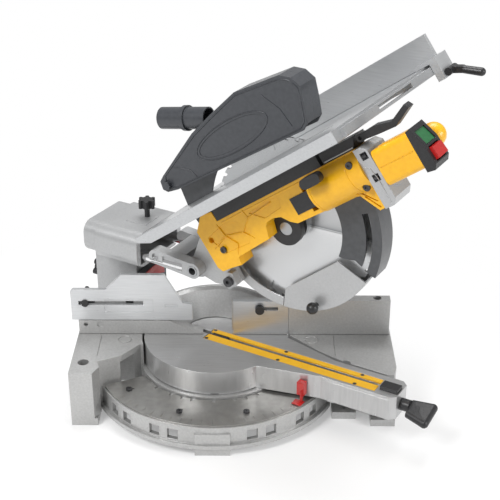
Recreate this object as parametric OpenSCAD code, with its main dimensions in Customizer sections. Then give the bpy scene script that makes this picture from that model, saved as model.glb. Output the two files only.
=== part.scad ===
/* [Base casting] */
// Height of the mitre table above the bench
table_h = 110; // [104:1:125]
// Reach of the left wing from the mitre axis
wing_left = 258; // [250:1:300]
// Reach of the right wing from the mitre axis
wing_right = 327; // [320:1:380]
// Depth of the wings in front of the fence
wing_front = 138; // [130:1:160]
// Depth of the wings behind the fence face
wing_back = 24; // [22:1:26]
// Thickness of the wing top
wing_top = 12; // [8:1:16]
// Radius of the front rim that carries the mitre scale
rim_r = 226; // [216:1:240]
// Height of the top of the front rim
rim_h = 56; // [50:1:58]
// Spacing of the bench bolt holes, left to right
bolt_x = 472; // [440:1:480]
// Spacing of the bench bolt holes, front to back
bolt_y = 200; // [180:1:210]
// Bench bolt hole diameter
bolt_d = 8.5; // [6.5:0.5:10]

/* [Mitre table] */
// Radius of the turning disc
disc_r = 134; // [130:1:136]
// Running gap around the disc
disc_gap = 4; // [3:0.5:6]
// Length of the arm from the mitre axis
arm_len = 379; // [365:1:395]
// Half width of the arm
arm_half = 30; // [28:1:32]
// Mitre angle of the arm, to the right
mitre = 60; // [60:1:60]
// Width of the kerf slot
kerf_slot = 10; // [9:1:14]

/* [Fences] */
// Height of the left fixed fence above the table
fence_low = 29; // [24:1:34]
// Height of the right fixed fence above the table
fence_high = 73; // [65:1:80]
// Top of the left sliding fence above the table
slide_fence_top = 125; // [115:1:127]
// Thickness of the sliding fence plates
plate_t = 8; // [6:0.5:9]

/* [Saw head] */
// Blade diameter
blade_d = 305; // [295:1:308]
// Blade body thickness
blade_t = 2.2; // [1.8:0.1:3]
// Tilt of the raised head and bench table
rise = 36; // [34:1:37]
// Chop pivot, in front of the mitre axis
pivot_s = -12; // [-14:1:-10]
// Chop pivot, above the bench
pivot_z = 266; // [264:1:272]
// Blade centre along the head, from the chop pivot
blade_f = 211; // [208:1:216]
// Blade centre above the head line
blade_h = -9; // [-10:0.5:-8]

/* [Bench table] */
// Depth of the upper bench table, front to back
bench_len = 459; // [450:1:470]
// Left overhang of the bench table from the blade
bench_left = 130; // [125:1:140]
// Right overhang of the bench table from the blade
bench_right = 297; // [285:1:305]
// Top of the bench table above the head line
bench_top = 104; // [102:1:110]
// Height of the rip fence plate
rip_h = 50; // [40:1:60]

/* [Rails] */
// Rail diameter
rail_d = 22; // [20:1:24]
// Radial running clearance of shafts and rails
run_fit = 0.05; // [0.03:0.01:0.1]
// Gap between neighbouring moving faces
gap = 0.5; // [0.4:0.1:0.8]

/* [Hidden] */
$fn = 72;

// ---- frames: the arm runs along -Y, the head is tilted about its pivot ----
module at_arm() { rotate([0, 0, mitre]) children(); }
module at_head() {
    at_arm() translate([0, -pivot_s, pivot_z]) rotate([-rise, 0, 0]) children();
}
// an outline in (forward, up) made into a plate between two side offsets
module slab(w0, w1) {
    translate([w1, 0, 0]) rotate([90, 0, -90]) linear_extrude(w1 - w0) children();
}
// a box in the arm or head frame: forward, side and up ranges
module block(f0, f1, w0, w1, h0, h1) {
    translate([w0, -f1, h0]) cube([w1 - w0, f1 - f0, h1 - h0]);
}
// a shaft along the side axis at (forward, up)
module cross_pin(f, h, w0, w1, r) {
    translate([w0, -f, h]) rotate([0, 90, 0]) cylinder(r = r, h = w1 - w0);
}
// a shaft along the forward axis at (side, up)
module long_pin(w, h, f0, f1, r, r2 = -1) {
    translate([w, -f0, h]) rotate([90, 0, 0]) cylinder(r1 = r, r2 = r2 < 0 ? r : r2, h = f1 - f0);
}
// a rounded rectangle made of true arcs
module round_rect(x, y, r) {
    translate([r, 0]) square([x - 2 * r, y]);
    translate([0, r]) square([x, y - 2 * r]);
    for (px = [r, x - r], py = [r, y - r]) translate([px, py]) circle(r);
}
// a box with rounded long edges, running forward from f0 to f1
module round_bar(f0, f1, w0, w1, h0, h1, r) {
    translate([w0, -f0, h0]) rotate([90, 0, 0]) linear_extrude(f1 - f0) round_rect(w1 - w0, h1 - h0, r);
}
// a sector of a ring between two radii and two angles
module ring_sector(r0, r1, a0, a1) {
    steps = 24;
    function arc(r, n) = [for (i = [0:n]) let (a = a0 + (a1 - a0) * i / n) [r * cos(a), r * sin(a)]];
    inner = arc(r0, steps);
    polygon(concat(arc(r1, steps), [for (i = [steps:-1:0]) inner[i]]));
}
// a true ring cut to a wedge between two angles
module true_sector(r0, r1, a0, a1) {
    reach = r1 * 2;
    mid = (a0 + a1) / 2;
    intersection() {
        difference() { circle(r1); circle(r0); }
        polygon([[0, 0], reach * [cos(a0), sin(a0)], reach * [cos(mid), sin(mid)], reach * [cos(a1), sin(a1)]]);
    }
}
module socket_screw(r, h, sock) {
    difference() {
        cylinder(r = r, h = h);
        translate([0, 0, h / 2]) cylinder(r = sock, h = h, $fn = 6);
    }
}

// ---- base -----------------------------------------------------------------
bore_r = disc_r + disc_gap;
left_stop = 204.6;
right_line = 35;
foot_h = 14;
hub_r = 38;
hub_bore = 8;
disc_under = 66;
foot_pad = [44, 30];
rim_wall = 8;

module left_wing_outline() {
    difference() {
        polygon([[-wing_left, wing_back], [-wing_left, -wing_front], [-wing_left + 42, -wing_front],
            [-wing_left + 52, -wing_front + 22], [-211, -97], [-170, -77], [-139, -36],
            [-bore_r * 0.8, -30], [-bore_r * 0.8, wing_back]]);
        circle(bore_r, $fn = 144);
    }
}
// a point of the right inner edge, which runs beside the arm, at depth y
function right_edge(y) = [(right_line - y * sin(mitre)) / cos(mitre), y];
module right_wing_outline() {
    difference() {
        polygon([[wing_right, wing_back], [wing_right, -wing_front + 26], [wing_right - 6, -wing_front],
            right_edge(-wing_front), right_edge(-96), [193, -61], [138, -2], [bore_r * 0.8, 0],
            [bore_r * 0.8, wing_back]]);
        circle(bore_r, $fn = 144);
    }
}
module foot(x, y) {
    difference() {
        translate([x - foot_pad[0] / 2, y - foot_pad[1] / 2, 0]) cube([foot_pad[0], foot_pad[1], foot_h]);
        translate([x, y, -1]) cylinder(d = bolt_d, h = foot_h + 2);
    }
}
module bench_holes() {
    for (x = [-1, 1], y = [-1, 1]) translate([x * bolt_x / 2, y * bolt_y / 2, -1]) {
        cylinder(d = bolt_d, h = foot_h + 2);
        translate([0, 0, foot_h + 1]) cylinder(d = bolt_d * 2.4, h = table_h);
    }
}
module base_casting() color("silver") {
    pocket_z = table_h - wing_top;
    difference() {
        union() {
            translate([0, 0, foot_h]) linear_extrude(table_h - foot_h) left_wing_outline();
            translate([0, 0, foot_h]) linear_extrude(table_h - foot_h) right_wing_outline();
            // front rim: top flange, outer wall and lip
            translate([0, 0, rim_h - 6]) linear_extrude(6) true_sector(bore_r, rim_r, left_stop, 336);
            translate([0, 0, foot_h]) linear_extrude(rim_h - foot_h)
                true_sector(rim_r - rim_wall, rim_r, left_stop, 336);
            translate([0, 0, foot_h]) linear_extrude(8) true_sector(rim_r - rim_wall, rim_r + 6, left_stop, 336);
            // ring under the disc and its spokes
            translate([0, 0, foot_h]) difference() {
                cylinder(r = bore_r + 4, h = arm_under - gap - foot_h);
                translate([0, 0, -1]) cylinder(r = bore_r - 6, h = rim_h);
            }
            for (a = [30:60:330]) rotate([0, 0, a])
                translate([hub_r - 6, -7, foot_h + 6]) cube([bore_r - hub_r + 2, 14, rim_h - foot_h - 12]);
            translate([0, 0, foot_h]) cylinder(r = hub_r, h = disc_under - gap - foot_h);
            // centre front foot block
            translate([-31, -rim_r - 2, 0]) cube([62, 62, rim_h - 12]);
            translate([-20, -rim_r + 40, foot_h]) cube([40, 50, rim_h - foot_h - 8]);
            // rear beams and feet
            for (s = [-1, 1]) translate([s * bolt_x / 2 - 22, -20, 0])
                cube([44, bolt_y / 2 + 36, rim_h - 16]);
            translate([-bolt_x / 2, bolt_y / 2 - 6, foot_h]) cube([bolt_x, 22, rim_h - foot_h - 16]);
            for (x = [-1, 1], y = [-1, 1]) foot(x * bolt_x / 2, y * bolt_y / 2);
            translate([-wing_left, -wing_front, 0]) cube([48, 60, foot_h]);
            translate([wing_right - 44, -wing_front, 0]) cube([44, 60, foot_h]);
            translate([wing_right - 44, -20, 0]) cube([44, 44, foot_h]);
        }
        bench_holes();
        // the well behind the front wall of each wing, open underneath
        translate([-wing_left + 8, -wing_front + 60, -1]) cube([100, wing_front - 60 - 10, pocket_z + 1]);
        translate([-wing_left + 8, -wing_front + 8, foot_h + 8]) cube([34, 54, pocket_z - foot_h - 8]);
        translate([wing_right - 110, -wing_front + 62, -1]) cube([102, wing_front - 62 + 10, pocket_z + 1]);
        translate([wing_right - 42, -wing_front + 8, foot_h + 8]) cube([28, 50, pocket_z - foot_h - 8]);
        // groove and sunk ring in each wing top
        translate([-wing_left + 44, -wing_front + 60, table_h - 1]) cube([1.2, wing_front - 66, 2]);
        translate([wing_right - 108, -wing_front + 60, table_h - 1]) cube([1.2, wing_front - 66, 2]);
        for (p = [[-wing_left + 90, -20], [wing_right - 148, -20]]) translate([p[0], p[1], table_h - 1.2])
            difference() { cylinder(r = 13, h = 3); translate([0, 0, -1]) cylinder(r = 10.5, h = 5); }
        // handhold openings in the side walls
        for (x = [-wing_left - 1, wing_right - 14]) translate([x, -92, foot_h + 18])
            cube([16, 70, 34]);
        // the hub bore and the room under it for the nut
        translate([0, 0, -1]) cylinder(r = hub_bore, h = disc_under + 2);
        translate([0, 0, foot_h - 1]) cylinder(r = 20, h = 14);
        // windows in the front rim wall
        for (a = [218, 227, 243, 252, 288, 297, 313, 322]) rotate([0, 0, a])
            translate([rim_r - 20, -10, foot_h + 12]) cube([40, 20, rim_h - foot_h - 22]);
        // groove for the mitre lock shoe
        translate([0, 0, foot_h - 1]) linear_extrude(6) true_sector(rim_r - 30, rim_r - 22, left_stop + 4, 334);
        // threads of the scale screws
        for (a = scale_angles) rotate([0, 0, a]) translate([scale_mid, 0, rim_h - 8])
            cylinder(r = scale_screw_r + run_fit, h = 10);
        // tapped holes of the fence bolts
        for (x = fence_bolt_x) translate([x, fence_bolt_y, table_h - 24])
            cylinder(r = fence_bolt_r + run_fit, h = 30);
    }
}

scale_mid = 191;
scale_in = bore_r + 6;
scale_out = rim_r - 3;
scale_t = 3;
scale_angles = [216, 252, 288, 324];
scale_screw_r = 3;
detent_angles = [0, 15, 22.5, 31.6, 45, 60];
module mitre_scale() color("gainsboro") difference() {
    translate([0, 0, rim_h]) linear_extrude(scale_t) difference() {
        true_sector(scale_in, scale_out, left_stop + 1.5, 334);
        // detent notches on the inner edge
        for (d = detent_angles, s = [-1, 1]) rotate(270 + s * d)
            if (s * d > -54) translate([scale_in - 1, -3]) square([9, 6]);
        for (a = scale_angles) rotate(a) translate([scale_mid - 8, 0]) circle(scale_screw_r + run_fit);
        for (a = scale_angles) rotate(a) translate([scale_mid, 0]) circle(scale_screw_r + run_fit);
    }
    // graduations cut every five degrees
    for (a = [-50:5:60]) rotate([0, 0, 270 + a])
        translate([scale_out - 16, -0.5, rim_h + scale_t - 0.6]) cube([a % 15 == 0 ? 14 : 9, 1, 2]);
}
module scale_screws() color("black")
    for (a = scale_angles) rotate([0, 0, a]) translate([scale_mid, 0, rim_h + scale_t]) {
        socket_screw(5.5, 4, 2.5);
        translate([0, 0, -8]) cylinder(r = scale_screw_r, h = 8);
    }
module table_pivot_bolt() color("dimgray") {
    translate([0, 0, foot_h + 1]) cylinder(r = 15, h = 9, $fn = 6);
    translate([0, 0, foot_h + 10]) cylinder(r = hub_bore - run_fit, h = disc_under - foot_h);
}

// ---- fences ---------------------------------------------------------------
fence_lift = 0.8;
fence_t = 20;
bow_r = 116;
bow_foot = 64;
bow_h = 40;
bow_wall = 6;
fence_bolt_x = [-232, -160, 170, 300];
fence_bolt_y = 11;
fence_bolt_r = 4;
right_fence_in = 136;
slot_knob_x = 82;
slot_knob_z = table_h + 55;
left_knob_x = -242;
left_knob_z = table_h + 66;

module fence_casting() color("lightgray") difference() {
    z0 = table_h + fence_lift;
    union() {
        // left fixed fence, tapering to the blade opening
        translate([0, fence_t, 0]) rotate([90, 0, 0]) linear_extrude(fence_t)
            polygon([[-wing_left + 2, z0], [-wing_left + 2, table_h + fence_low], [-88, table_h + fence_low],
                [-44, table_h + 9], [-24, table_h + 4], [-24, z0]]);
        // foot of the fence on each wing
        translate([-wing_left + 2, 2, table_h]) cube([wing_left - bore_r - 8, fence_t - 2, fence_lift]);
        translate([bore_r + 6, 2, table_h]) cube([wing_right - bore_r - 8, fence_t - 2, fence_lift]);
        // right fixed fence
        translate([right_fence_in, 0, z0]) cube([wing_right - right_fence_in - 3, fence_t, fence_high - fence_lift]);
        translate([30, plate_t + gap, z0]) cube([right_fence_in - 30, fence_t - plate_t - gap, fence_high - 6]);
        translate([30, 0, z0]) cube([right_fence_in - 30, fence_t, 2.4]);
        // bow: a dished wall that follows the sweep of the blade behind the fence
        intersection() {
            translate([0, 0, z0]) rotate_extrude($fn = 96) polygon([[bow_foot, 0], [bow_foot + 10, 0],
                [bow_r + bow_wall, bow_h - 8], [bow_r + bow_wall, bow_h], [bow_r, bow_h], [bow_r - 4, bow_h - 6]]);
            translate([-170, 1, 0]) cube([340, 170, 300]);
        }
        // rail that guides the left sliding fence
        translate([-wing_left + 2, plate_t + gap, table_h + fence_low - 2])
            cube([wing_left - 90, fence_t - plate_t - gap, 52]);
    }
    // room for the right sliding plate
    translate([29, -1, z0 + 2.4]) cube([right_fence_in - 29, plate_t + gap + 1, 120]);
    // channel in front of the guide for the sliding plate
    translate([-wing_left - 20, -1, table_h + fence_low + 1]) cube([wing_left + 30, plate_t + gap + 1, 120]);
    // through slot of the left lock knob and bore of the right one
    translate([left_knob_x, -1, left_knob_z]) rotate([-90, 0, 0]) cylinder(r = 4 + run_fit, h = fence_t + 4);
    translate([slot_knob_x, -1, slot_knob_z]) rotate([-90, 0, 0]) cylinder(r = 3 + run_fit, h = fence_t + 4);
    for (x = fence_bolt_x) translate([x, fence_bolt_y, table_h - 1]) {
        cylinder(r = fence_bolt_r + run_fit, h = 20);
        translate([0, 0, 17]) cylinder(r = 7.5, h = 130);
    }
    // sunk screw and pill boss of the left fence face
    translate([-243, -1, table_h + 20]) rotate([-90, 0, 0]) cylinder(r = 4, h = 8);
    translate([-216, -1, table_h + 20]) rotate([-90, 0, 0]) cylinder(r = 6, h = 3);
}
module fence_bolts() color("dimgray")
    for (x = fence_bolt_x) translate([x, fence_bolt_y, table_h + 16]) {
        socket_screw(6.5, 7, 3);
        translate([0, 0, -34]) cylinder(r = fence_bolt_r, h = 34);
    }
slot_h = 8.4;
module left_sliding_fence() color("whitesmoke") {
    z0 = table_h + fence_low + 1 + gap;
    top = table_h + slide_fence_top;
    difference() {
        translate([0, plate_t, 0]) rotate([90, 0, 0]) linear_extrude(plate_t)
            polygon([[-268, z0], [-268, table_h + 90], [-264, table_h + 94], [-202, table_h + 94],
                [-173, top], [-94, top], [-61, table_h + 66], [-45, table_h + 64], [-43, table_h + 62], [-43, z0]]);
        // lock slot at the left and guide slot at the right
        translate([left_knob_x - 12, -1, left_knob_z - slot_h / 2]) cube([120, plate_t + 2, slot_h]);
        translate([-94, -1, table_h + 58]) cube([24, 2.5, 6]);
        // shallow bare panel
        translate([-206, -1, table_h + 47]) cube([90, 1.8, 26]);
    }
}
module left_fence_knob() color("dimgray") {
    translate([left_knob_x, -2.5, left_knob_z]) rotate([-90, 0, 0]) cylinder(r = 7, h = 2.2);
    translate([left_knob_x, -1, left_knob_z]) rotate([-90, 0, 0]) cylinder(r = 4, h = fence_t + 12);
    translate([left_knob_x, fence_t + 1, left_knob_z]) rotate([-90, 0, 0]) {
        cylinder(r = 8, h = 6);
        translate([0, 0, 5]) linear_extrude(10) {
            circle(10);
            for (a = [0:60:300]) rotate(a) translate([0, 12]) circle(4.5);
        }
    }
}
module right_sliding_fence() color("silver") difference() {
    translate([33, 0, table_h + 3.6]) cube([right_fence_in - 33 - gap, plate_t, 67]);
    translate([slot_knob_x - 4, -1, slot_knob_z - 3.4]) cube([38, plate_t + 2, 6.8]);
}
module right_fence_knob() color("black") {
    translate([slot_knob_x, -8.6, slot_knob_z]) rotate([-90, 0, 0]) {
        cylinder(r = 8.5, h = 8.2);
        cylinder(r = 3, h = 8.2 + fence_t + 8);
    }
    translate([slot_knob_x, fence_t + 1, slot_knob_z]) rotate([-90, 0, 0]) cylinder(r = 7, h = 6, $fn = 6);
}

// ---- mitre table ----------------------------------------------------------
plate_rec = 3;
arm_under = 64;
bridge_half = 38;
bridge_end = 212;
bevel_z = table_h;
handle_z = 84;
button_s = 360;
module mitre_table() color("silver") at_arm() difference() {
    union() {
        translate([0, 0, disc_under]) cylinder(r = disc_r, h = table_h - disc_under, $fn = 144);
        // arm, narrowing from the disc and chamfered at its front corners
        translate([0, 0, arm_under]) linear_extrude(table_h - arm_under) polygon([
            [-58, -120], [-arm_half, -236], [-arm_half, -arm_len + 10], [-arm_half + 9, -arm_len],
            [arm_half - 9, -arm_len], [arm_half, -arm_len + 10], [arm_half, -236], [58, -120]]);
        // bridge to the bevel arc behind the disc
        translate([-bridge_half, 0, disc_under]) cube([bridge_half * 2, bridge_end, table_h - 2 - disc_under]);
    }
    // hollow underside
    translate([0, 0, disc_under - 1]) difference() {
        cylinder(r = disc_r - 9, h = table_h - disc_under - 9);
        cylinder(r = 24, h = table_h);
        for (a = [0:45:315]) rotate([0, 0, a]) translate([20, -4, 0]) cube([disc_r, 8, 60]);
    }
    translate([-arm_half + 7, -arm_len + 18, arm_under - 1])
        cube([arm_half * 2 - 14, arm_len - disc_r - 24, table_h - arm_under - 12]);
    // bore for the pivot bolt
    translate([0, 0, disc_under - 2]) cylinder(r = hub_bore, h = 14);
    // seats of the kerf plates, with the kerf slot between them
    translate([-24, -338, table_h - plate_rec]) cube([40, 338 + 14, plate_rec + 1]);
    translate([-kerf_slot / 2, -332, handle_z + 8]) cube([kerf_slot, 332 + 46, table_h]);
    for (p = kerf_screw_at) translate([p[0], -p[1], table_h - 16]) cylinder(r = 2 + run_fit, h = 20);
    // seat of the latch button, its guide and the lock rod bore
    translate([-15, -button_s - 17, table_h - 7]) cube([22, 34, 10]);
    translate([-11, -button_s, arm_under - 1]) cylinder(r = 3 + run_fit, h = 60);
    translate([0, -disc_r - 40, handle_z]) rotate([90, 0, 0]) cylinder(r = 5 + run_fit, h = arm_len);
    // pivot of the bevel column
    translate([0, bridge_end + 1, bevel_pin_z]) rotate([90, 0, 0]) cylinder(r = pin_r + run_fit, h = 70);
}
kerf_screw_at = [for (s = [-8, 144, 298]) each [[12, s], [-20, s]]];
module kerf_plate(w0, w1) {
    difference() {
        translate([w0, -337.5, table_h - plate_rec]) cube([w1 - w0, 337.5 + 12, plate_rec]);
        for (p = kerf_screw_at) translate([p[0], -p[1], table_h - 5]) cylinder(r = 2 + run_fit, h = 8);
        for (p = kerf_screw_at) translate([p[0], -p[1], table_h - 1]) cylinder(r = 3.6, h = 4);
    }
}
module kerf_plate_near() color("gold") at_arm() kerf_plate(-23.7, -kerf_slot / 2);
module kerf_plate_far() color("gold") at_arm() kerf_plate(kerf_slot / 2, 15.7);
module kerf_screws() color("black") at_arm() for (p = kerf_screw_at) translate([p[0], -p[1], table_h - 1]) {
    socket_screw(3.4, 1, 1.4);
    translate([0, 0, -13]) cylinder(r = 2, h = 13);
}
module kerf_insert() color("black") at_arm()
    translate([-kerf_slot / 2 + 0.3, -27, table_h - 8]) cube([kerf_slot - 0.6, 34, 7]);
module mitre_pointer() color("red") at_arm() {
    // white block on the side of the arm with a blade that reaches over the scale
    translate([-51, -214, 72]) cube([12, 14, 26]);
    translate([-57, -212, 60.4]) cube([8, 2, 24]);
    translate([-66, -216, 60.4]) cube([16, 18, 1.4]);
}
module mitre_lock_rod() color("silver") at_arm() {
    translate([0, -disc_r - 46, handle_z]) rotate([90, 0, 0]) cylinder(r = 5, h = arm_len - disc_r - 46 + 8);
}
module mitre_lock_handle() color("black") at_arm() {
    difference() {
        union() {
            translate([0, -arm_len - 1, handle_z]) rotate([90, 0, 0]) cylinder(r = 11, h = 16);
            hull() {
                translate([-12, -arm_len - 16, handle_z - 8]) rotate([90, 0, 0]) cylinder(r = 7, h = 4, $fn = 32);
                translate([12, -arm_len - 16, handle_z - 2]) rotate([90, 0, 0]) cylinder(r = 7, h = 4, $fn = 32);
                translate([-20, -arm_len - 52, handle_z - 12]) sphere(8, $fn = 32);
                translate([20, -arm_len - 52, handle_z - 4]) sphere(8, $fn = 32);
            }
        }
        translate([0, -arm_len + 4, handle_z]) rotate([90, 0, 0]) cylinder(r = 5 + run_fit, h = 16);
    }
}
module detent_button() color("black") at_arm() {
    translate([-14.5, -button_s - 16.5, table_h - 2]) cube([21, 33, 9]);
    translate([-11, -button_s, arm_under + 4]) cylinder(r = 3, h = table_h - arm_under - 5);
}
arc_r = 112;
arc_s0 = 135;
arc_s1 = 149;
bevel_pin_z = table_h - 24;
pin_r = 9;
module bevel_arc() color("dimgray") at_arm() difference() {
    union() {
        intersection() {
            translate([0, arc_s0, table_h]) rotate([-90, 0, 0]) cylinder(r = arc_r, h = arc_s1 - arc_s0);
            translate([-bridge_half, 0, table_h - 2]) cube([bridge_half * 2, 200, 160]);
        }
        translate([-bridge_half + 6, arc_s1 - 1, table_h - 2]) cube([bridge_half * 2 - 12, 2, 60]);
    }
    translate([0, arc_s0 - 1, table_h + 40]) rotate([-90, 0, 0]) cylinder(r = 14, h = 12);
}
module bevel_scale() color("darkred") at_arm() intersection() {
    translate([0, arc_s0 - 1.5, table_h]) rotate([-90, 0, 0]) difference() {
        cylinder(r = arc_r - 1, h = 1.5);
        translate([0, 0, -1]) cylinder(r = arc_r - 24, h = 4);
    }
    translate([-30, 0, table_h + 40]) cube([60, 200, 120]);
}
module bevel_pin() color("dimgray") at_arm() {
    translate([0, bridge_end + 46, bevel_pin_z]) rotate([90, 0, 0]) cylinder(r = pin_r, h = 96);
    translate([0, bridge_end + 56, bevel_pin_z]) rotate([90, 0, 0]) cylinder(r = 15, h = 10, $fn = 6);
}

// ---- bevel column and rail housing ------------------------------------------
house_front = -122;
house_back = -217;
house_half = 72;
house_top = 312;
house_bot = 244;
rail_z = 265;
rail_w = 46;
rail_r = rail_d / 2;
column_half = 36;
column_front = 150;
star_s = -155;
star_w = 12;
module rail_housing() color("silver") at_arm() difference() {
    union() {
        round_bar(house_back, house_front, -house_half, house_half, house_bot, house_top, 24);
        // column down to the bevel pin, clear of the table bridge
        translate([-column_half, column_front + gap, table_h + 6])
            cube([column_half * 2, 64, house_bot - table_h + 10]);
        translate([-column_half, bridge_end + gap, bevel_pin_z - 20])
            cube([column_half * 2, 32, house_bot - bevel_pin_z + 12]);
        translate([-22, -house_front + 14, house_top - 4]) cube([44, 44, 5]);
    }
    // room inside for the carriage, open to the front
    translate([-60, -house_front - 1, house_bot + 7]) cube([120, 66, house_top - house_bot - 15]);
    for (w = [-rail_w, rail_w]) translate([w, -house_front - 1, rail_z]) rotate([-90, 0, 0])
        cylinder(r = rail_r + 3, h = 130);
    translate([0, bridge_end + 60, bevel_pin_z]) rotate([90, 0, 0]) cylinder(r = pin_r + run_fit, h = 70);
    translate([star_w, -star_s, house_top - 30]) cylinder(r = 5 + run_fit, h = 60);
    // lock slot of the bevel clamp
    translate([-16, bridge_end - 1, 150]) cube([32, 40, 14]);
}
module rail_bushings() color("peru") at_arm() for (w = [-rail_w, rail_w])
    translate([w, -house_back, rail_z]) rotate([90, 0, 0]) difference() {
        cylinder(r = rail_r + 2.95, h = 20);
        translate([0, 0, -1]) cylinder(r = rail_r + run_fit, h = 22);
    }
bevel_knob_s = -(bridge_end + 33);
module bevel_lock_knob() color("black") at_arm() translate([0, -bevel_knob_s, 186]) rotate([-90, 0, 0]) {
    cylinder(r = 8, h = 10);
    translate([0, 0, 8]) linear_extrude(14) {
        circle(15);
        for (a = [0:72:288]) rotate(a) translate([0, 16]) circle(6);
    }
}
module rail_lock_knob() color("black") at_arm() translate([star_w, -star_s, 0]) {
    translate([0, 0, 298]) cylinder(r = 5, h = 40);
    translate([0, 0, 332]) linear_extrude(16) {
        circle(11);
        for (a = [0:60:300]) rotate(a) {
            translate([-3.5, 0]) square([7, 14]);
            translate([0, 13]) circle(3.6);
        }
    }
    translate([0, 0, 328]) cylinder(r1 = 6, r2 = 11, h = 4);
}

// ---- carriage ---------------------------------------------------------------
rail_front = -34;
cap_len = 30;
module slide_rails() color("white") at_arm() for (w = [-rail_w, rail_w])
    long_pin(w, rail_z, house_back - cap_len + 8, rail_front, rail_r);
module rail_end_cap() color("silver") at_arm() difference() {
    round_bar(house_back - cap_len, house_back - gap, -house_half + 7, house_half - 7, house_bot + 4, house_top - 3, 22);
    for (w = [-rail_w, rail_w])
        long_pin(w, rail_z, house_back - cap_len + 8, house_back + 2, rail_r + run_fit);
}
arm_near = -57;
arm_in = -35;
module carriage_arm(w0, w1) {
    slab(w0, w1) difference() {
        union() {
            polygon([[-92, 260], [-92, 288], [pivot_s, pivot_z + 14], [pivot_s, pivot_z - 15], [-34, 254]]);
            translate([-92, 274]) circle(14);
            translate([pivot_s, pivot_z]) circle(15);
        }
        translate([pivot_s, pivot_z]) circle(10 + run_fit);
    }
}
module carriage_arms() color("silver") at_arm() difference() {
    union() {
        carriage_arm(arm_near, arm_in);
        carriage_arm(-arm_in, -arm_near);
        // rail clamp block between the arms
        block(-74, -38, arm_in - 1, -arm_in + 1, 254, 284);
    }
    // recess in the outer face of the near arm, with a bolt boss at its rear end
    slab(arm_near - 1, arm_near + 3) polygon([[-76, 280], [-34, 276], [-34, 260], [-76, 265]]);
    slab(arm_near - 1, arm_near + 4) translate([-92, 274]) circle(7);
    for (w = [-rail_w, rail_w]) long_pin(w, rail_z, -130, rail_front, rail_r + run_fit);
    cross_pin(pivot_s, pivot_z, -70, 70, 10 + run_fit);
}
module pivot_tube() color("dimgray") at_arm() difference() {
    cross_pin(pivot_s, pivot_z, arm_near - 1, -arm_near + 1, 10);
    cross_pin(pivot_s, pivot_z, arm_near - 2, -arm_near + 2, 7);
}

// ---- head -----------------------------------------------------------------
blade_r = blade_d / 2;
guard_r = 161;
case_in = -22;
case_out = -62;
motor_w = -50;
motor_h = 24;
barrel_r = 34.8;
arbor_r = 12;
arbor_cap_r = 30;

module head_bracket() color("silver") at_head() difference() {
    union() {
        slab(arm_in + gap, -arm_in - gap) difference() {
            union() {
                circle(21);
                polygon([[0, -21], [14, -40], [46, -62], [70, -58], [72, -30], [96, -8], [96, 28], [60, 46], [34, 44], [2, 21]]);
            }
            circle(10 + run_fit);
        }
        // lug for the stop bolt on the near side
        slab(-48, arm_in + 1) polygon([[38, -44], [46, -60], [66, -58], [70, -36], [62, -30], [46, -34]]);
    }
    // room for the blade guard and the knife clamp
    translate([0, -blade_f, blade_h]) rotate([0, 90, 0])
        cylinder(r = guard_r + gap, h = 48, center = true, $fn = 144);
    // flat the gear case is bolted to
    block(60.7, 130, -60, case_in + 2, -29, 100);
    cross_pin(56, -46, -60, -20, 5 + run_fit);
    slab(-knife_t / 2 - 0.1, knife_t / 2 + 0.1) polygon([[20, 4], [110, 4], [110, 70], [18, 70]]);
}
module stop_bolt() color("black") at_head() {
    cross_pin(56, -46, -48, -22, 5);
    translate([-48, -56, -46]) rotate([0, -90, 0]) socket_screw(9, 7, 4);
}
module case_outline() {
    polygon([[61, 58], [87, 81], [112, 78], [113, 59], [420, 59], [432, 59], [432, -44], [411, -45], [392, -11],
        [383, -9], [260, -6], [248, 2], [236, 16], [221, 20], [206, 19], [199, 13], [192, -8], [114, -13],
        [111, -28], [89, -25], [67, -24], [61, -14]]);
}
module gear_case() color("gold") at_head() difference() {
    union() {
        slab(case_out, case_in) case_outline();
        long_pin(motor_w, motor_h, 322, 432, barrel_r);
    }
    // cut the barrel back beside the blade guards
    block(300, 433, case_in, 20, -60, 100);
    // motor room and gear room
    long_pin(motor_w, motor_h, 300, 433, 27);
    block(214, 302, -57, -29, 4, 48);
    cross_pin(blade_f, blade_h, -34.3, 0, arbor_cap_r + 0.3);
    // face pockets that break up the cover
    slab(case_out - 1, case_out + 1.2) polygon([[76, 40], [120, 50], [150, 44], [168, 20], [150, 0], [96, 2]]);
    slab(case_out - 1, case_out + 1.2) polygon([[182, 46], [226, 52], [252, 48], [246, 30], [206, 26]]);
    // cooling slots in the flare below the barrel
    for (i = [0, 1]) translate([0, 0, -i * 11]) slab(-90, -50) polygon([[392 + i * 6, -4], [395 + i * 6, -4],
        [417, -30], [414, -30]]);
    for (p = case_screw_at) {
        cross_pin(p[0], p[1], p[2] - 1, p[3], 2.5 + run_fit);
        cross_pin(p[0], p[1], p[2] - 30, p[2], 6.3);
    }
    cross_pin(80, 34, case_out - 1, case_out + 8, 5);
    cross_pin(352, 50, -90, -67.5, 4 + run_fit);
}
// forward, up, face of the head and end of the shank
case_screw_at = [[94, 10, case_out, -42], [414, 42, -79, -74], [418, -2, -72, -68]];
module case_screws() color("black") at_head() for (p = case_screw_at)
    {
        translate([p[2] - 0.1, -p[0], p[1]]) rotate([0, -90, 0]) socket_screw(6, 3, 3);
        cross_pin(p[0], p[1], p[2] - 0.1, p[3], 2.5);
        // the same size of screw holds the end bell
        for (h = [44, 6]) long_pin(-76, h, 440.2, 449, 4);
    }
module label_plate() color("black") at_head()
    slab(case_out - 1.2, case_out) polygon([[270, 6], [318, 6], [318, 36], [270, 36]]);
module bench_skirt() color("black") at_head() difference() {
    union() {
    slab(case_out, case_in) polygon([[114, 59.2], [356, 59.2], [356, 82], [114, 82]]);
    slab(case_out + 2, case_in) polygon([[361, 59.2], [424, 59.2], [434, 78], [361, 78]]);
    }
    for (f = post_f) translate([post_w, -f, 50]) cylinder(r = post_r + run_fit, h = 60);
}
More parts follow.
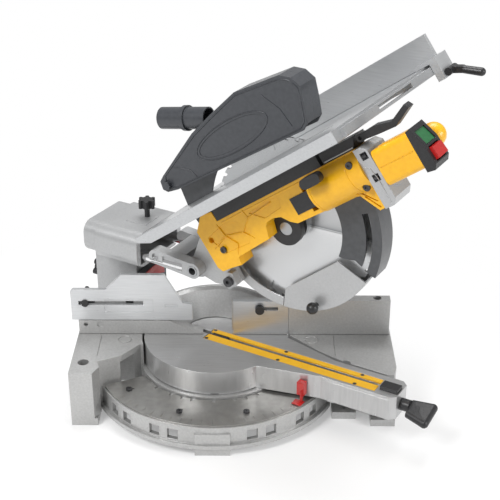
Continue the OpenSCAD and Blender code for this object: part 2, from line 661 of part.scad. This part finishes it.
module end_bell() color("darkgray") at_head() difference() {
    union() {
        slab(-80, case_in) polygon([[432.2, 59], [446, 59], [456, 50], [458, -34], [450, -44], [432.2, -44]]);
        long_pin(motor_w, 8, 432.2, 462, 30);
    }
    long_pin(motor_w, motor_h, 431, 448, 22);
    for (h = [38, 0]) translate([-81, -452, h]) cube([10, 12, 12]);
}
module motor_field() color("slategray") at_head() difference() {
    long_pin(motor_w, motor_h, 330, 400, 26.9);
    long_pin(motor_w, motor_h, 329, 401, 20);
}
module motor_armature() color("peru") at_head() {
    long_pin(motor_w, motor_h, 336, 394, 18);
    long_pin(motor_w, motor_h, 268, 446, 5);
    long_pin(motor_w, motor_h, 408, 424, 24);
    long_pin(motor_w, motor_h, 262, 268, 6.5);
}
module switch_housing() color("gold") at_head() difference() {
    round_bar(462.4, 532, -88, -30, -14, 46, 9);
    long_pin(-56, 16, 520, 534, 12);
}
module switch_surround() color("black") at_head() difference() {
    slab(-88, -38) polygon([[532.2, 48], [540, 50], [550, 20], [552, -14], [546, -22], [532.2, -20]]);
    block(528, 560, -80, -46, 17, 42);
    block(528, 560, -80, -46, -12, 13);
}
module start_button() color("green") at_head()
    slab(-79.6, -46.4) polygon([[534, 41.6], [541, 41.6], [549, 17.4], [534, 17.4]]);
module stop_button() color("red") at_head()
    slab(-79.6, -46.4) polygon([[534, 12.6], [556, 10], [558, -9], [534, -11.6]]);
module grip_handle() color("gold") at_head() {
    long_pin(0, 17, 452, 524, 20);
    translate([0, -524, 17]) sphere(20);
    block(463, 500, -29.8, 2, 4, 30);
}
module height_knob() color("black") at_head() {
    cross_pin(352, 50, -92, -68, 4);
    translate([-92, -352, 50]) rotate([90, 0, -90]) linear_extrude(14) {
        translate([-11, -9]) square([22, 18]);
        translate([-11, 0]) circle(9);
        translate([11, 0]) circle(9);
    }
}
lever_f = 443;
lever_h = 70;
module release_lever() color("black") at_head() {
    slab(-60, -42) difference() {
        union() {
            circle_at(lever_f, lever_h, 7);
            polygon([[lever_f, lever_h - 5], [lever_f, lever_h + 5], [474, 77], [505, 70], [538, 84], [543, 76],
                [508, 60], [474, 62]]);
        }
        circle_at(lever_f, lever_h, 3 + run_fit);
    }
}
module circle_at(f, h, r) { translate([f, h]) circle(r); }
module arbor_housing() color("silver") at_head() difference() {
    cross_pin(blade_f, blade_h, -34, -22, arbor_cap_r);
    cross_pin(blade_f, blade_h, -35, -21, arbor_r + run_fit);
}
module arbor() color("dimgray") at_head() {
    cross_pin(blade_f, blade_h, -33, 14, arbor_r);
    cross_pin(blade_f, blade_h, -9, -blade_t / 2 - 0.02, 28);
    cross_pin(blade_f, blade_h, blade_t / 2 + 0.02, 7, 28);
    translate([12, -blade_f, blade_h]) rotate([0, 90, 0]) cylinder(r = 11, h = 10, $fn = 6);
}
teeth = 48;
module blade() color("lightgray") at_head() difference() {
    slab(-blade_t / 2, blade_t / 2) translate([blade_f, blade_h]) difference() {
        circle(blade_r, $fn = 144);
        for (i = [0:teeth - 1]) rotate(i * 360 / teeth) translate([blade_r - 6, 0])
            polygon([[0, 0], [8, 0], [8, 11], [1.5, 7]]);
        for (a = [0:72:288]) rotate(a) translate([blade_r - 22, -0.8]) square([24, 1.6]);
    }
    cross_pin(blade_f, blade_h, -5, 5, arbor_r + run_fit);
}
guard_w = 16;
guard_skin = 2.5;
rear_a0 = 152;
guard_a0 = 230;
guard_a1 = 297;
module guard_rim(a0, a1) {
    slab(-guard_w + guard_skin - 0.1, guard_w - guard_skin + 0.1) translate([blade_f, blade_h])
        true_sector(guard_r - guard_skin, guard_r, a0, a1);
}
module rear_guard() color("lightgray") at_head() {
    for (w = [-guard_w, guard_w - guard_skin]) slab(w, w + guard_skin) translate([blade_f, blade_h])
        true_sector(guard_r - 17, guard_r, rear_a0, guard_a0 - 0.5);
    guard_rim(rear_a0, guard_a0 - 0.5);
}
module lower_guard() color("lightgray") at_head() {
    // near side: closed only below the chord line, so that the blade shows above it
    slab(-guard_w, -guard_w + guard_skin) translate([blade_f, blade_h]) intersection() {
        true_sector(60, guard_r, guard_a0, guard_a1);
        polygon([[-88, -96], [38, -91], [62, -89], [88, -118], [120, -200], [-200, -200]]);
    }
    slab(guard_w - guard_skin, guard_w) translate([blade_f, blade_h]) difference() {
        union() {
            true_sector(20, guard_r, guard_a0, guard_a1);
            circle(28);
        }
        circle(16);
    }
    guard_rim(guard_a0, guard_a1);
}
ball_a = 255;
module guard_knob() color("black") at_head()
    translate([-guard_w - 0.2, -(blade_f + 149 * cos(ball_a)), blade_h + 149 * sin(ball_a)]) rotate([0, -90, 0]) {
        cylinder(r = 4, h = 9);
        translate([0, 0, 16]) sphere(10.5);
    }
front_r = 172;
module front_side(w0, w1, slot) {
    slab(w0, w1) translate([blade_f, blade_h]) difference() {
        true_sector(100, front_r, -55, 14);
        // way of the guard knob
        if (slot) true_sector(143.5, 154.5, -60, -14);
        polygon([[40, -130], [62, -88], [82, -100], [92, -128], [80, -170], [30, -170]]);
    }
}
module front_guard() color("dimgray") at_head() difference() {
    union() {
        front_side(case_in + 0.3, -17.5, true);
        front_side(17.5, 20.5, false);
        slab(-18, 18) translate([blade_f, blade_h]) true_sector(front_r - 8, front_r, -55, 14);
    }
    block(370, 400, -30, 30, 48, 90);
}
knife_t = 2.4;
knife_r = 167;
module riving_knife() color("dimgray") at_head() slab(-knife_t / 2, knife_t / 2) difference() {
    polygon([[32, 6], [26, 40], [22, 80], [23, 105], [29, 137], [18, 146], [19, 158], [30, 163], [70, 174], [118, 168], [180, 150],
        [180, 60], [60, 20], [52, 6]]);
    translate([blade_f, blade_h]) circle(knife_r, $fn = 144);
    circle_at(29, 154, 4 + run_fit);
}
spout_a = 64.5;
module guard_outline() {
    polygon([[17, 166], [13, 151], [20, 143], [44, 138], [337, 121], [350, 128], [363, 156], [374, 185],
        [366, 205], [349, 218], [255, 232], [188, 221], [134, 210], [29, 172]]);
}
module guard_room() {
    polygon([[10, 130], [14, 162], [30, 166], [134, 204], [190, 215], [255, 225], [345, 211], [366, 186],
        [356, 158], [345, 110], [20, 110]]);
}
module upper_guard_half(w0, w1, room0, room1) {
    difference() {
        slab(w0, w1) guard_outline();
        slab(room0, room1) guard_room();
        cross_pin(29, 154, -40, 40, 4 + run_fit);
        // the dust way and the seat of the spout
        translate([0, -182, 209]) rotate([-spout_a, 0, 0]) translate([0, 0, 19.7]) cylinder(r = 23, h = 120);
        translate([0, -182, 209]) rotate([-spout_a, 0, 0]) translate([0, 0, -40]) cylinder(r = 15.5, h = 60);
    }
}
module upper_guard_left() color("dimgray") at_head() difference() {
    upper_guard_half(-26, -0.1, -22, 1);
    // oval panel sunk in the side
    slab(-27, -24.8) polygon([for (a = [0:10:350]) [205 + 78 * cos(a) , 172 + 22 * sin(a)]]);
}
module upper_guard_right() color("dimgray") at_head() {
    upper_guard_half(0.1, 26, -1, 22);
    // pivot bolt through both halves and the knife
    cross_pin(29, 154, -30, 26, 4);
    cross_pin(29, 154, -34, -27, 8);
}
module dust_spout() color("dimgray") at_head() translate([0, -182, 209]) rotate([-spout_a, 0, 0]) difference() {
    union() {
        translate([0, 0, 20]) cylinder(r = 19.5, h = 98);
        translate([0, 0, 62]) cylinder(r = 22.5, h = 8);
    }
    translate([0, 0, 19]) cylinder(r = 16.5, h = 110);
}

// ---- bench table ------------------------------------------------------------
bench_back = -10;
bench_front = bench_back + bench_len;
bench_plate = 6;
bench_deep = 20;
bench_wall = 7;
post_r = 6;
post_w = -42;
post_f = [180, 300];
module bench_table() color("silver") at_head() {
    bench_top_casting();
    for (f = post_f) translate([post_w, -f, 62]) cylinder(r = post_r, h = bench_top - bench_plate - 61.9);
}
module bench_top_casting() difference() {
    union() {
        block(bench_back, bench_front, -bench_left, bench_right, bench_top - bench_deep, bench_top);
        // front rail
        block(bench_front - 1, bench_front + 9, -bench_left + 20, bench_right + 8, bench_top - 18, bench_top - 4);
    }
    difference() {
        block(bench_back + bench_wall, bench_front - bench_wall, -bench_left + bench_wall,
            bench_right - bench_wall, bench_top - bench_deep - 1, bench_top - bench_plate);
        for (f = [bench_back + 110, bench_front - 90]) block(f, f + 6, 60, bench_right, bench_top - bench_deep, bench_top);
        block(bench_back, bench_front, 150, 156, bench_top - bench_deep + 4, bench_top);
    }
    // blade slot
    block(12, 374, -5, 5, bench_top - bench_deep - 5, bench_top + 1);
    // long slot in the front rail
    block(bench_front - 12, bench_front + 12, 10, 140, bench_top - 15, bench_top - 7);
    // tapered rear end of the left apron
    slab(-bench_left - 1, -bench_left + 30) polygon([[bench_back - 1, bench_top - bench_deep - 1],
        [bench_back + 30, bench_top - bench_deep - 1], [bench_back - 1, bench_top - 9]]);
}
rip_w = 249;
module rip_fence() color("whitesmoke") at_head() {
    slab(rip_w - 4, rip_w + 4) polygon([[62, bench_top + gap], [468, bench_top + gap], [468, bench_top + rip_h],
        [62, bench_top + rip_h]]);
    block(62, 468, rip_w + 3, rip_w + 26, bench_top + gap, bench_top + 6);
    // head that hooks over the front rail
    block(bench_front + 9 + gap, bench_front + 24, rip_w - 22, rip_w + 28, bench_top - 34, bench_top + 8);
    block(bench_front - 20, bench_front + 24, rip_w - 22, rip_w + 28, bench_top + gap, bench_top + 8);
}
rip_lever_f = 484;
rip_lever_h = 78;
module rip_lock_lever() color("black") at_head() {
    cross_pin(rip_lever_f - 4, rip_lever_h, rip_w - 16, rip_w + 16, 7);
    hull() {
        cross_pin(rip_lever_f + 2, rip_lever_h - 2, rip_w - 7, rip_w + 7, 6);
        cross_pin(rip_lever_f + 14, rip_lever_h - 8, rip_w - 6, rip_w + 6, 6);
    }
    hull() {
        translate([rip_w, -rip_lever_f - 16, rip_lever_h - 10]) sphere(7, $fn = 32);
        translate([rip_w, -rip_lever_f - 42, rip_lever_h - 28]) sphere(7.5, $fn = 32);
    }
}

base_casting();
mitre_scale();
scale_screws();
table_pivot_bolt();
fence_casting();
fence_bolts();
left_sliding_fence();
left_fence_knob();
right_sliding_fence();
right_fence_knob();
mitre_table();
kerf_plate_near();
kerf_plate_far();
kerf_screws();
kerf_insert();
mitre_pointer();
mitre_lock_handle();
mitre_lock_rod();
detent_button();
bevel_arc();
bevel_scale();
bevel_pin();
rail_housing();
rail_bushings();
bevel_lock_knob();
rail_lock_knob();
slide_rails();
rail_end_cap();
carriage_arms();
pivot_tube();
head_bracket();
stop_bolt();
gear_case();
case_screws();
label_plate();
bench_skirt();
end_bell();
motor_field();
motor_armature();
switch_housing();
switch_surround();
start_button();
stop_button();
grip_handle();
height_knob();
release_lever();
arbor_housing();
arbor();
blade();
rear_guard();
lower_guard();
guard_knob();
front_guard();
riving_knife();
upper_guard_left();
upper_guard_right();
dust_spout();
bench_table();
rip_fence();
rip_lock_lever();
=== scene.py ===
import bpy
import math
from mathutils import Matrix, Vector


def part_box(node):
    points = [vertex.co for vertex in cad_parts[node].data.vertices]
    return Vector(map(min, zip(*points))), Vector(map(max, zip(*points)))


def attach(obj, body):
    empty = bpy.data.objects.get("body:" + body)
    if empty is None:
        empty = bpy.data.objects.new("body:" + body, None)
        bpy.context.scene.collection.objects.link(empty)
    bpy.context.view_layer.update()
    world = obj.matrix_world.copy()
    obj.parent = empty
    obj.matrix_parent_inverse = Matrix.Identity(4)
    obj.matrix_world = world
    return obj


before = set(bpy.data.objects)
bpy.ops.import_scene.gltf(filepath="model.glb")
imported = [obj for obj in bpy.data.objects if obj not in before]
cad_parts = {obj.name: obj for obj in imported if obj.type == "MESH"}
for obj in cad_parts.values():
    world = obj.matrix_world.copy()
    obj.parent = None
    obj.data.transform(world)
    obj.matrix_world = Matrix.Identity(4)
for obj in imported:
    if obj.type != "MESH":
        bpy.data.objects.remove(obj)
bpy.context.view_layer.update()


# Base and fence: two aluminium castings bolted together, blasted and left bare.
# Their skin is dull and finely grained, the same on every face.
class Wire:
    """A shader socket that adds and multiplies like a number."""

    def __init__(self, tree, out):
        self.tree, self.out = tree, out

    def pin(self, name):
        return Wire(self.tree, self.out.node.outputs[name])

    def math(self, op, other=0.0, clamp=False):
        return add(self.tree, "Math", {"operation": op, "use_clamp": clamp}, {0: self, 1: other})

    def __add__(self, other): return self.math("ADD", other)
    def __sub__(self, other): return self.math("SUBTRACT", other)
    def __mul__(self, other): return self.math("MULTIPLY", other)
    __radd__ = __add__
    __rmul__ = __mul__


def add(tree, kind, settings, sockets, out=0):
    """A node of this kind: its settings first, then a value or a wire for each socket."""
    n = tree.nodes.new("ShaderNode" + kind)
    for key, value in settings.items():
        if key == "stops":
            for stop, (place, colour) in zip(n.color_ramp.elements, value):
                stop.position, stop.color = place, (*colour, 1)
        else:
            setattr(n, key, value)
    for key, value in sockets.items():
        plug(tree, n.inputs[key], value)
    return Wire(tree, n.outputs[out])


def plug(tree, socket, value):
    if isinstance(value, Wire):
        tree.links.new(value.out, socket)
    else:
        socket.default_value = value


def noise(tree, scale, stretch=(1, 1, 1), detail=4.0):
    coords = add(tree, "TexCoord", {}, {}, "Object")
    place = add(tree, "Mapping", {}, {"Vector": coords, "Scale": stretch})
    return add(tree, "TexNoise", {},
               {"Vector": place, "Scale": scale, "Detail": detail, "Roughness": 0.5}, "Fac")


def finish_of(name, dark, light, rough, metal, coat=0.0, grain=60.0, stretch=(1, 1, 1),
              bump=(900.0, 0.05), spread=0.12):
    """One finish: two tones mixed by grain, a fine relief, and a roughness that wanders."""
    m = bpy.data.materials.new(name)
    m.use_nodes = True
    t = m.node_tree
    b = t.nodes["Principled BSDF"]
    tone = noise(t, grain, stretch) * 0.65 + noise(t, 7.0) * 0.35
    colour = add(t, "ValToRGB", {"stops": [(0.3, dark), (0.7, light)]}, {"Fac": tone}, "Color")
    # the bevel only rounds the normals, so that a sharp edge catches a thin line of light
    edge = add(t, "Bevel", {"samples": 4}, {"Radius": 0.0012})
    relief_scale, relief_depth = bump
    relief = add(t, "Bump", {}, {"Distance": 0.0004, "Strength": relief_depth * 4, "Normal": edge,
                                 "Height": noise(t, relief_scale, stretch, 3.0)})
    wander = noise(t, 38.0, stretch) * spread + (rough - spread / 2)
    for key, value in {"Metallic": metal, "Coat Weight": coat, "Normal": relief,
                       "Base Color": colour, "Roughness": wander}.items():
        plug(t, b.inputs[key], value)
    return m


def dress(finish, names):
    for name in names.split():
        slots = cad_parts[name].data.materials
        slots.clear()
        slots.append(finish)


cast = finish_of("cast_aluminium", (.43, .43, .425), (.54, .54, .535), .38, .6,
                 grain=260, bump=(520, .10))
bolt = finish_of("dark_bolt", (.05, .05, .052), (.11, .11, .115), .35, .8,
                 grain=150, bump=(900, .06))
dress(cast, "base_casting fence_casting")
dress(bolt, "fence_bolts")

# Mitre scale: a stamped plate, darker and browner than the castings, held down
# on the front of the base by small blackened screws.
plate = finish_of("scale_plate", (.30, .295, .285), (.40, .395, .38), .32, .75,
                  grain=80, bump=(400, .03))
dress(plate, "mitre_scale")
dress(bolt, "scale_screws")

# Turning table and arm: one aluminium casting with a ground top, turned on a
# steel bolt. The arm stands 60 degrees to the right, and a milled line runs
# along its near flank.
turned = finish_of("ground_table", (.47, .47, .47), (.57, .57, .57), .30, .75,
                   grain=24, stretch=(1, 18, 1), bump=(120, .03))
steel = finish_of("ground_steel", (.36, .37, .38), (.46, .47, .48), .30, .9, bump=(600, .05))
dress(turned, "mitre_table")
dress(steel, "table_pivot_bolt")

mitre = math.radians(60)
along_arm = Vector((math.sin(mitre), -math.cos(mitre), 0))
side = Vector((math.cos(mitre), math.sin(mitre), 0))


def bar(name, points, radius, finish, body):
    """A thin rounded bar along the points, fixed to the body."""
    curve = bpy.data.curves.new(name, "CURVE")
    curve.dimensions = "3D"
    curve.bevel_depth = radius
    curve.bevel_resolution = 2
    line = curve.splines.new("POLY")
    line.points.add(len(points) - 1)
    for p, q in zip(line.points, points):
        p.co = (*q, 1)
    tmp = bpy.data.objects.new(name + "_line", curve)
    mesh = bpy.data.meshes.new_from_object(tmp)
    bpy.data.objects.remove(tmp)
    ob = bpy.data.objects.new(name, mesh)
    bpy.context.collection.objects.link(ob)
    ob.data.materials.clear()
    ob.data.materials.append(finish)
    for poly in ob.data.polygons:
        poly.use_smooth = True
    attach(ob, body)


flank, line_z = .0303, .1040
bar("arm_line", [along_arm * s - side * flank + Vector((0, 0, line_z)) for s in (.240, .366)],
    .0006, turned, "turntable")

# Mitre controls on the arm's end: a moulded black handle on a steel rod, a black
# detent button, and a red moulded pointer that rides over the scale.
black = finish_of("black_plastic", (.010, .010, .011), (.020, .020, .022), .42, 0, .1,
                  grain=200, bump=(1500, .10))
red = finish_of("red_button", (.42, .010, .010), (.55, .018, .015), .3, 0, .3,
                grain=200, bump=(900, .04))
dress(steel, "mitre_lock_rod")
dress(black, "mitre_lock_handle detent_button")
dress(red, "mitre_pointer")

# Kerf plates: two strips of yellow plastic, screwed down in the arm on either
# side of a black insert with the slot for the blade.
gold = finish_of("yellow_plate", (.80, .42, .006), (.90, .50, .012), .42, 0, .1,
                 grain=50, bump=(500, .03))
dress(gold, "kerf_plate_near kerf_plate_far")
dress(black, "kerf_insert")
dress(bolt, "kerf_screws")

# Sliding fences: extruded and milled aluminium, brushed along their length, each
# clamped to the fence casting by a black knob.
satin = finish_of("satin_fence", (.58, .59, .60), (.68, .69, .70), .30, .6,
                  grain=22, stretch=(1, 1, 16), bump=(160, .02))
machined = finish_of("machined_aluminium", (.52, .53, .54), (.62, .63, .64), .30, .75,
                     grain=30, stretch=(1, 14, 14), bump=(160, .03))
dress(satin, "left_sliding_fence")
dress(machined, "right_sliding_fence")
dress(black, "left_fence_knob right_fence_knob")

# Bevel frame: a grey painted casting that leans on a steel pin in the turntable's
# black iron arc, against a red scale, and is locked by a black star knob.
paint = finish_of("light_grey_paint", (.42, .425, .43), (.49, .495, .50), .34, .45, .15,
                  grain=300, bump=(700, .09))
iron = finish_of("dark_painted_iron", (.055, .058, .062), (.085, .088, .094), .34, .3, .2,
                 grain=90, bump=(800, .06))
dress(paint, "rail_housing")
dress(iron, "bevel_arc")
dress(red, "bevel_scale")
dress(steel, "bevel_pin")
dress(black, "bevel_lock_knob rail_lock_knob")

# Carriage: two chromed rails that slide in sintered bronze bushings. A painted
# cap joins their back ends, and painted arms carry the head on a steel tube.
chrome = finish_of("chrome", (.80, .80, .81), (.90, .90, .91), .10, 1,
                   grain=18, stretch=(9, 1, 1), bump=(90, .01), spread=.05)
bronze = finish_of("sintered_bronze", (.42, .28, .12), (.55, .38, .18), .42, .8,
                   grain=300, bump=(900, .12))
dress(chrome, "slide_rails")
dress(bronze, "rail_bushings")
dress(paint, "rail_end_cap carriage_arms head_bracket")
dress(steel, "pivot_tube")
dress(bolt, "stop_bolt")

# Gear case and motor barrel: glass-filled plastic moulded in yellow, with a web
# of ribs on its near face, a step along its flange and two seams round the barrel.
yellow = finish_of("yellow_shell", (.84, .42, .003), (.93, .50, .008), .36, 0, .25,
                   grain=120, bump=(900, .06))
dress(yellow, "gear_case")
dress(black, "label_plate")
dress(bolt, "case_screws")

rise = math.radians(36)
fwd = along_arm * math.cos(rise) + Vector((0, 0, math.sin(rise)))
up = Vector((0, 0, math.cos(rise))) - along_arm * math.sin(rise)
pivot_back, pivot_height = .012, .266
pivot = along_arm * -pivot_back + Vector((0, 0, pivot_height))


def on_head(f, w, h):
    """A place on the raised head, forward, to the side and up from its pivot, in metres."""
    return pivot + fwd * f + side * w + up * h


def on_face(points, w):
    """Places on a flat face at w metres to the side, forward and up in millimetres."""
    return [on_head(f / 1000, w, h / 1000) for f, h in points]


case_face = -.0622
ribs = [
    [(78, 18), (112, 30), (150, 22), (166, 4)],
    [(112, 30), (108, 54)],
    [(150, 22), (176, 40), (232, 46)],
    [(176, 40), (172, 56)],
    [(116, -8), (128, 8), (112, 30)],
]
for i, rib in enumerate(ribs):
    bar(f"case_rib_{i}", on_face(rib, case_face), .0011, yellow, "head")
bar("flange_step", on_face([(120, 53.5), (320, 53.5)], case_face), .0008, yellow, "head")

barrel_w, barrel_h, barrel_r = -.050, .024, .0348
near_half = [math.radians(a) for a in range(-60, 81, 10)]
for i, f in enumerate((.326, .404)):
    seam = [on_head(f, barrel_w - barrel_r * math.cos(a), barrel_h + barrel_r * math.sin(a))
            for a in near_half]
    bar(f"barrel_seam_{i}", seam, .0009, yellow, "head")

# Motor: a laminated steel field round a copper-wound armature, closed by a grey
# end bell that is moulded in two halves.
copper = finish_of("copper_winding", (.45, .20, .09), (.62, .30, .14), .35, .8,
                   grain=300, stretch=(1, 1, 8), bump=(700, .15))
dress(steel, "motor_field")
dress(copper, "motor_armature")
dress(paint, "end_bell")
bell_face = -.0802
bar("bell_seam", on_face([(434, 30), (444, 24), (448, 4), (447, -38)], bell_face),
    .0008, paint, "head")

# Switch housing and grip: yellow mouldings with a black surround round the green
# start button and the red stop button. One seam and one lip show on the near side.
green = finish_of("green_button", (.012, .10, .03), (.02, .16, .05), .3, 0, .3,
                  grain=200, bump=(900, .04))
dress(yellow, "switch_housing grip_handle")
dress(black, "switch_surround")
dress(green, "start_button")
dress(red, "stop_button")
switch_face, lip_edge = -.0882, -.070
bar("switch_seam", on_face([(466, 18), (528, 18)], switch_face), .0007, yellow, "head")
bar("switch_lip", on_face([(470, 46.3), (526, 46.3)], lip_edge), .0009, yellow, "head")

# Release lever: black plastic, held out by a small bright coil beside its hub.
# The height lock knob next to it is black too.
dress(black, "release_lever height_knob")
hub_f, hub_w, hub_h = .455, -.0415, .066
coil_r, coil_step, coil_turn = .0035, .0002, .6
coil = [on_head(hub_f + coil_r * math.cos(x * coil_turn), hub_w - coil_step * x,
                hub_h + coil_r * math.sin(x * coil_turn)) for x in range(40)]
bar("lever_spring", coil, .0005, chrome, "head")

# Blade: a steel disc on a steel arbor, brushed round its centre into fine rings of roughness.
# Its colour holds bright fans of painted highlight, set by the angle round its centre.
dress(steel, "arbor")
dress(black, "arbor_housing")
blade_steel = steel.copy()
blade_steel.name = "blade_steel"
t = blade_steel.node_tree
b = t.nodes["Principled BSDF"]
lo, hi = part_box("blade")
centre = (Vector(lo) + Vector(hi)) / 2
coords = add(t, "TexCoord", {}, {}, "Object")
reach = add(t, "VectorMath", {"operation": "DISTANCE"}, {0: coords, 1: centre}, "Value")
spoke = add(t, "VectorMath", {"operation": "SUBTRACT"}, {0: coords, 1: centre})
flat = add(t, "VectorRotate", {"rotation_type": "Z_AXIS"},
           {"Vector": spoke, "Angle": math.pi / 2 - mitre})
split = add(t, "SeparateXYZ", {}, {0: flat})
# painted highlight: the fans below are painted into the blade's colour and turned with the mitre
highlight_fans_a_turn, highlight_fan_offset, highlight_fan_sharpness, ring_rate = 2.0, 0.5, 3.0, 5200.0
swing = split.pin("Z").math("ARCTAN2", split.pin("Y"))
wave = (swing * highlight_fans_a_turn + highlight_fan_offset).math("COSINE").math("ABSOLUTE")
painted_highlight_fan = wave.math("POWER", highlight_fan_sharpness)
# the painted highlight mixes dark steel towards bright steel along each fan
highlight_fan_colour = add(t, "Mix", {"data_type": "RGBA"},
           {"Factor": painted_highlight_fan, "A": (.30, .31, .32, 1), "B": (.78, .79, .80, 1)}, "Result")
rings = (reach * ring_rate).math("SINE") * 0.12 + 0.34
for key, value in {"Base Color": highlight_fan_colour, "Roughness": rings, "Metallic": 0.85}.items():
    plug(t, b.inputs[key], value)
dress(blade_steel, "blade")

# Lower guards: grey painted sheet behind and under the blade, a black painted
# guard in front, and the black knob that lifts the moving one.
dress(paint, "rear_guard lower_guard")
dress(iron, "front_guard")
dress(black, "guard_knob")

# Upper guard: two shells of dark grey plastic on the iron riving knife. They have
# a raised rim, a rib round a sunk oval and two short ribs, and a dust spout.
smoke = finish_of("dark_grey_plastic", (.040, .043, .050), (.058, .062, .070), .36, 0, .2,
                  grain=150, bump=(1200, .07))
dress(iron, "riving_knife")
dress(smoke, "upper_guard_left upper_guard_right dust_spout")
shell_face = -.0262
shell = [(23, 150), (46, 142), (334, 126), (347, 133), (358, 158), (368, 185), (361, 202),
         (346, 213), (254, 227), (190, 216), (136, 205), (34, 170), (23, 150)]
round_oval = [math.radians(a) for a in range(0, 361, 12)]
oval = [(205 + 84 * math.cos(a), 172 + 27 * math.sin(a)) for a in round_oval]
for name, line, radius in (
        ("guard_rim", shell, .0012),
        ("guard_oval", oval, .0011),
        ("guard_step", [(300, 205), (318, 170), (322, 136)], .0010),
        ("guard_step_low", [(60, 176), (90, 158), (96, 141)], .0010)):
    bar(name, on_face(line, shell_face), radius, smoke, "top_guard")

# Upper bench: a milled aluminium table over a black plastic skirt, with a brushed
# rip fence clamped by a black lever, and a bright strip low on the skirt's front.
dress(machined, "bench_table")
dress(satin, "rip_fence")
dress(black, "bench_skirt rip_lock_lever")
skirt_face = -.0602
bar("skirt_strip", on_face([(364, 62), (424, 62)], skirt_face), .0012, machined, "head")

# Floor: a matt white sheet under the saw. It takes the saw's shadow near the middle,
# and a painted glow of its own, weak there, grows outwards until it is plain white further out.
bpy.ops.mesh.primitive_plane_add(size=12, location=(0, 0, -0.0005))
floor = bpy.context.object
floor.name = "floor"
floor_white = bpy.data.materials.new("floor_white")
floor_white.use_nodes = True
t = floor_white.node_tree
sheet = t.nodes["Principled BSDF"]
sheet.inputs["Base Color"].default_value = (.93, .93, .93, 1)
sheet.inputs["Roughness"].default_value = 0.8
coords = add(t, "TexCoord", {}, {}, "Object")
away = add(t, "VectorMath", {"operation": "LENGTH"}, {0: coords}, "Value")
fade_start, fade_rate, least_glow = 0.30, 2.2, 0.28
fade = (away - fade_start).math("MULTIPLY", fade_rate, clamp=True)
# painted glow: the floor emits light of its own, which lifts its shade and turns it plain white
# far out
glow = add(t, "Emission", {}, {})
both = add(t, "MixShader", {}, {0: fade * (1 - least_glow) + least_glow,
                                1: Wire(t, sheet.outputs[0]), 2: glow})
plug(t, t.nodes["Material Output"].inputs["Surface"], both)
floor.data.materials.append(floor_white)


# Lamps: three soft boxes aimed at the middle of the saw, the key at the front
# left, a weaker fill at the right and one over the back.
def soft_box(name, place, size, power):
    lamp = bpy.data.lights.new(name, "AREA")
    lamp.size = size
    lamp.energy = power
    ob = bpy.data.objects.new(name, lamp)
    ob.location = place
    ob.rotation_euler = (saw_middle - Vector(place)).to_track_quat("-Z", "Y").to_euler()
    bpy.context.collection.objects.link(ob)


saw_middle = Vector((0, 0, .3))
soft_box("key", (-1.7, -1.7, 2.6), 1.1, 72)
soft_box("fill", (2.3, -1.2, 1.2), 1.0, 30)
soft_box("top", (0.2, 0.9, 2.6), 1.6, 46)

# Studio: a white surround, dimmer for the light that it throws on the saw than
# for the camera's own view of it.
world = bpy.data.worlds.new("studio")
bpy.context.scene.world = world
world.use_nodes = True
t = world.node_tree
surround = t.nodes["Background"]
surround.inputs["Color"].default_value = (1, 1, 1, 1)
seen = add(t, "LightPath", {}, {}, "Is Camera Ray")
surround_light = 0.38
plug(t, surround.inputs["Strength"], seen * (1 - surround_light) + surround_light)

# Camera: a long lens about two metres in front of the saw, looking down on it
# by some 27 degrees.
lens = bpy.data.cameras.new("camera")
lens.lens = 84.32
lens.sensor_width = 36
camera = bpy.data.objects.new("camera", lens)
camera.location = (0.0775, -1.8930, 1.2382)
camera.rotation_euler = (math.radians(63.324), 0, math.radians(0.41))
bpy.context.collection.objects.link(camera)
bpy.context.scene.camera = camera
bpy.context.scene.view_settings.view_transform = "Standard"
